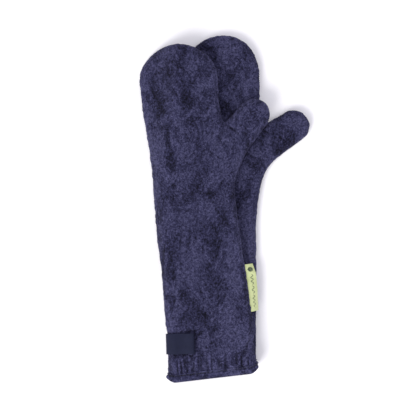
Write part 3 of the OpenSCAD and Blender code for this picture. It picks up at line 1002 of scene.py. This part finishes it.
def slab(name, grid, thickness):
    """A closed strip of that thickness about a grid of points."""
    points = grid.reshape(-1, 3)
    ids = np.arange(len(points)).reshape(grid.shape[:2])
    faces = grid_faces(ids)
    out = normals(points, faces) * thickness / 2
    edge = np.concatenate([ids[:, 0], ids[-1, 1:], ids[-2::-1, -1], ids[0, -2:0:-1]])
    both = np.concatenate([points + out, points - out])
    piece = sealed(make_object(name, both, two_skins(faces, edge, len(points))))
    piece.data.set_sharp_from_angle(angle=math.radians(50))
    return piece


def smooth_line(points, spacing):
    """A polyline's points again, evenly spaced and with its corners eased."""
    p = np.array(points, float)
    run = run_along(p)
    at = np.linspace(0, run[-1], int(run[-1] / spacing) + 1)
    p = at_run(p, run, at)
    for _ in range(3):
        p[1:-1] = 0.25 * p[:-2] + 0.5 * p[1:-1] + 0.25 * p[2:]
    return p


def rim_line(h, rim_h, reverse=False):
    """Line at a height h off the mitt's rounded rim, as (distance in from the seam, height)."""
    a = np.radians(np.linspace(14, 90, 10))
    n = unit(np.stack([-rim_h * np.cos(a), EDGE_ROUND * np.sin(a)], -1))
    line = np.stack([EDGE_ROUND * (1 - np.cos(a)), rim_h * np.sin(a)], -1) + h * n
    return list(line[::-1] if reverse else line)


def loop_line(rim_h, eye):
    """The middle of the folded webbing: out of the seam, along the mitt, round the fold, and back."""
    half = WEBBING_T / 2
    r = eye / 2 + half
    low = LOOP_GAP + half
    high = low + WEBBING_T + PLY_SPACE
    centre = np.array([LOOP_L - r - half, rim_h + low + r])
    fold = [centre + polar(r, a) for a in range(-90, 91, 15)]
    t = np.linspace(0.2, 1, 5)
    back = np.stack([mix(centre[0], FLAT_X, t), mix(centre[1] + r, rim_h + high, ease(t))], -1)
    root_in, root_out = [(2.6, 0.4), (0.4, 0.7)], [(-high + 0.4, 0.5), (0.4, -0.3), (2.6, -0.4)]
    return smooth_line(root_in + rim_line(low, rim_h) + fold + list(back)
                       + rim_line(high, rim_h, True) + root_out, 0.9)


def loop_seam(lay):
    """The point of the left seam where the loop is sewn in."""
    return lie(lay, np.array([left_x(LOOP_Y), LOOP_Y, 0.0]))


def loop_strip(lay, name, rim_h, eye, sign, skew):
    """The webbing loop, on the face where sign is 1 and folded under the back where it is -1. It swings
    while its root stays in the seam."""
    line = loop_line(rim_h, eye)
    c = np.linspace(-0.5, 0.5, 15) * WEBBING_W
    a, b = np.meshgrid(line[:, 0], c, indexing="ij")
    high = np.repeat(line[:, 1:2], len(c), 1)
    free = np.clip((high - 6) / 5, 0, 1)
    cup = 0.3 * noise(a / 14, b / 12, lay.seed + 60) - 0.6 * (2 * np.abs(b) / WEBBING_W) ** 3
    high = high + cup * free * (1 if sign > 0 else 0)
    pivot = np.array([LOOP_L / 2, 0])
    plan = pivot + turned(np.stack([a, b], -1) - pivot, skew)
    seam = loop_seam(lay)
    plan = turned(plan, lay.turn - SEAM_LEAN) + seam[:2]
    piece = slab(name, np.concatenate([plan, sign * high[..., None] + seam[2]], -1), WEBBING_T)
    wear(piece, WEBBING, "webbing", None, lay.node("hang_loop"))
    lay.node("hang_loop")
    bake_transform(piece)
    return piece


def hang_loops():
    loop_strip(UPPER, "upper_loop_webbing", LOFT / 2, UPPER_EYE, 1, LOOP_SKEW)
    pressed = LOFT / 2 - float(loop_press(left_x(LOOP_Y) + 30, LOOP_Y))
    loop_strip(LOWER, "lower_loop_webbing", pressed, LOWER_EYE, -1, 0)


# The label droops over the lower mitt's edge: share of its length, reach from the seam, and drop.
LABEL_FORM = np.array([(0, 12.8, 9.6), (0.2, 15.6, 6.2), (0.55, 14.7, 8.0), (1, 11.0, 12.4)])


def label_point(t, u, h):
    """A point of the label: t along it from the fingers' end, u across it from the seam, and h above it."""
    t, u, h = np.broadcast_arrays(np.asarray(t, float), u, h)
    y = LABEL_Y + (0.5 - t) * LABEL_L
    seam = lie(UPPER, np.stack([right_x(y), y, 0 * y], -1))
    reach, drop = (np.interp(t, LABEL_FORM[:, 0], LABEL_FORM[:, k]) for k in (1, 2))
    wave = 0.35 * noise(t * 6, 3 * u, 71) * u
    plan = seam[..., :2] + turned(np.stack([reach * u, 0.6 * u * (t - 0.5)], -1), UPPER.turn + SEAM_LEAN)
    fall = np.sign(u) * np.abs(u) ** 1.45 * drop
    return np.concatenate([plan, (seam[..., 2] - fall + h + wave)[..., None]], -1)


def upper_label():
    """A folded ribbon in the thumb-side seam, with a plain embroidered motif."""
    u = np.linspace(-0.12, 1 - LABEL_FOLD / LABEL_W, 15)
    fold = polar(LABEL_FOLD, np.arange(60, -61, -30))
    across = np.concatenate([u, u[-1] + fold[:, 0] / LABEL_W, u[::-1]])
    high = np.concatenate([0 * u + LABEL_FOLD, fold[:, 1], 0 * u - LABEL_FOLD])
    t = np.linspace(0, 1, 65)
    grid = label_point(t[:, None], across[None], high[None])
    ribbon = wear(slab("label_ribbon", grid, LABEL_PLY), LABEL, "label", None, "upper_label")
    seam = label_point(0.5, 0, 0)
    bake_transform(ribbon)
    for k, line in enumerate(motif_lines()):
        thread_line(f"label_motif_{k}", line)


def motif_lines():
    """Lines of the motif, in shares along and across the label: an oval of rows, and waves with dots."""
    middle = 0.52
    for r in np.linspace(-1, 1, 9):
        half = 0.048 * math.sqrt(1.05 - r * r)
        yield [(0.115 - half, middle + 0.29 * r), (0.115 + half, middle + 0.29 * r)]
    for start, length, turns in ((0.23, 0.20, 2.5), (0.48, 0.14, 1.5), (0.67, 0.24, 3)):
        s = np.linspace(0, 1, int(12 * turns))
        yield list(zip(start + length * s, middle + 0.13 * np.sin(2 * np.pi * turns * s)))
    for at in (0.455, 0.645, 0.935):
        yield [(at - 0.004, 0.50), (at + 0.004, 0.52)]


def thread_line(name, line):
    """A line of embroidery on the label, as a low tube."""
    t, u = np.array(line, float).T
    p = label_point(t, u, LABEL_FOLD + LABEL_PLY / 2 + 0 * t)
    up = np.array([0, 0, 1.0])
    side = unit(np.cross(unit(np.gradient(p, axis=0)), up))
    turn = SIX_SIDES[None, :, None]
    points = p[:, None] + MOTIF_HALF * side[:, None] * np.cos(turn) + MOTIF_RISE * up * np.sin(turn)
    ids = np.arange(len(p) * len(SIX_SIDES)).reshape(len(p), -1)
    piece = sealed(make_object(name, points, tube_faces(ids)))
    return wear(piece, MOTIF, "label", "upper_label")


# ---- The pair ----

def build():
    for lay in (LOWER, UPPER):
        mitt = Mitt(lay)
        hem = cuff_hem(mitt)
        stitched, edge, inner = hem_stitching(mitt), edge_seam(mitt), lining_seam(mitt)
        for side in (1, -1):
            outer = outer_panel(mitt, side)
        for side in (1, -1):
            lining_panel(mitt, side)
    hang_loops()
    upper_label()


# ---- Floor, light and camera ----

def floor():
    h = FLOOR_HALF / MM
    corners = [(-h, -h, 0), (h, -h, 0), (h, h, 0), (-h, h, 0)]
    sheet = make_object("floor", corners, [[0, 1, 2, 3]], smooth=False)
    paper = Nodes("white_paper")
    grain = paper.noise(40, detail=2)
    colour = paper.ramp(grain, [(0.3, (0.885, 0.885, 0.89)), (0.7, (0.90, 0.90, 0.905))])
    sheet.data.materials.append(paper.finish(colour, paper.bump(grain, 0.02), roughness=0.9))


def area_light(name, place, size, power, colour):
    """A round soft light, in metres and watts, that is aimed at the pair."""
    light = bpy.data.lights.new(name, "AREA")
    light.shape, light.size, light.energy, light.color = "DISK", size, power, colour
    lamp = bpy.data.objects.new(name, light)
    lamp.location = place
    lamp.rotation_euler = (-Vector(place)).to_track_quat("-Z", "Y").to_euler()
    bpy.context.scene.collection.objects.link(lamp)


def studio():
    area_light("key", place=(-1.6, -1.9, 2.1), size=2.4, power=115, colour=(1.0, 0.985, 0.96))
    area_light("fill", place=(1.2, 1.4, 2.8), size=2.4, power=30, colour=(0.96, 0.95, 1.0))
    world = bpy.data.worlds.new("studio")
    world.use_nodes = True
    background = world.node_tree.nodes["Background"]
    background.inputs["Color"].default_value = (0.93, 0.91, 1.0, 1)
    background.inputs["Strength"].default_value = 0.78
    bpy.context.scene.world = world
    bpy.context.scene.view_settings.view_transform = "Standard"


def camera():
    """Looks straight down, with the cuffs at the bottom of the picture."""
    lens = bpy.data.cameras.new("camera")
    lens.sensor_width = 36
    lens.lens = lens.sensor_width * CAMERA_HEIGHT / FIELD
    eye = bpy.data.objects.new("camera", lens)
    eye.location = (*CAMERA_PLACE, CAMERA_HEIGHT)
    bpy.context.scene.collection.objects.link(eye)
    bpy.context.scene.camera = eye


build()
floor()
studio()
camera()
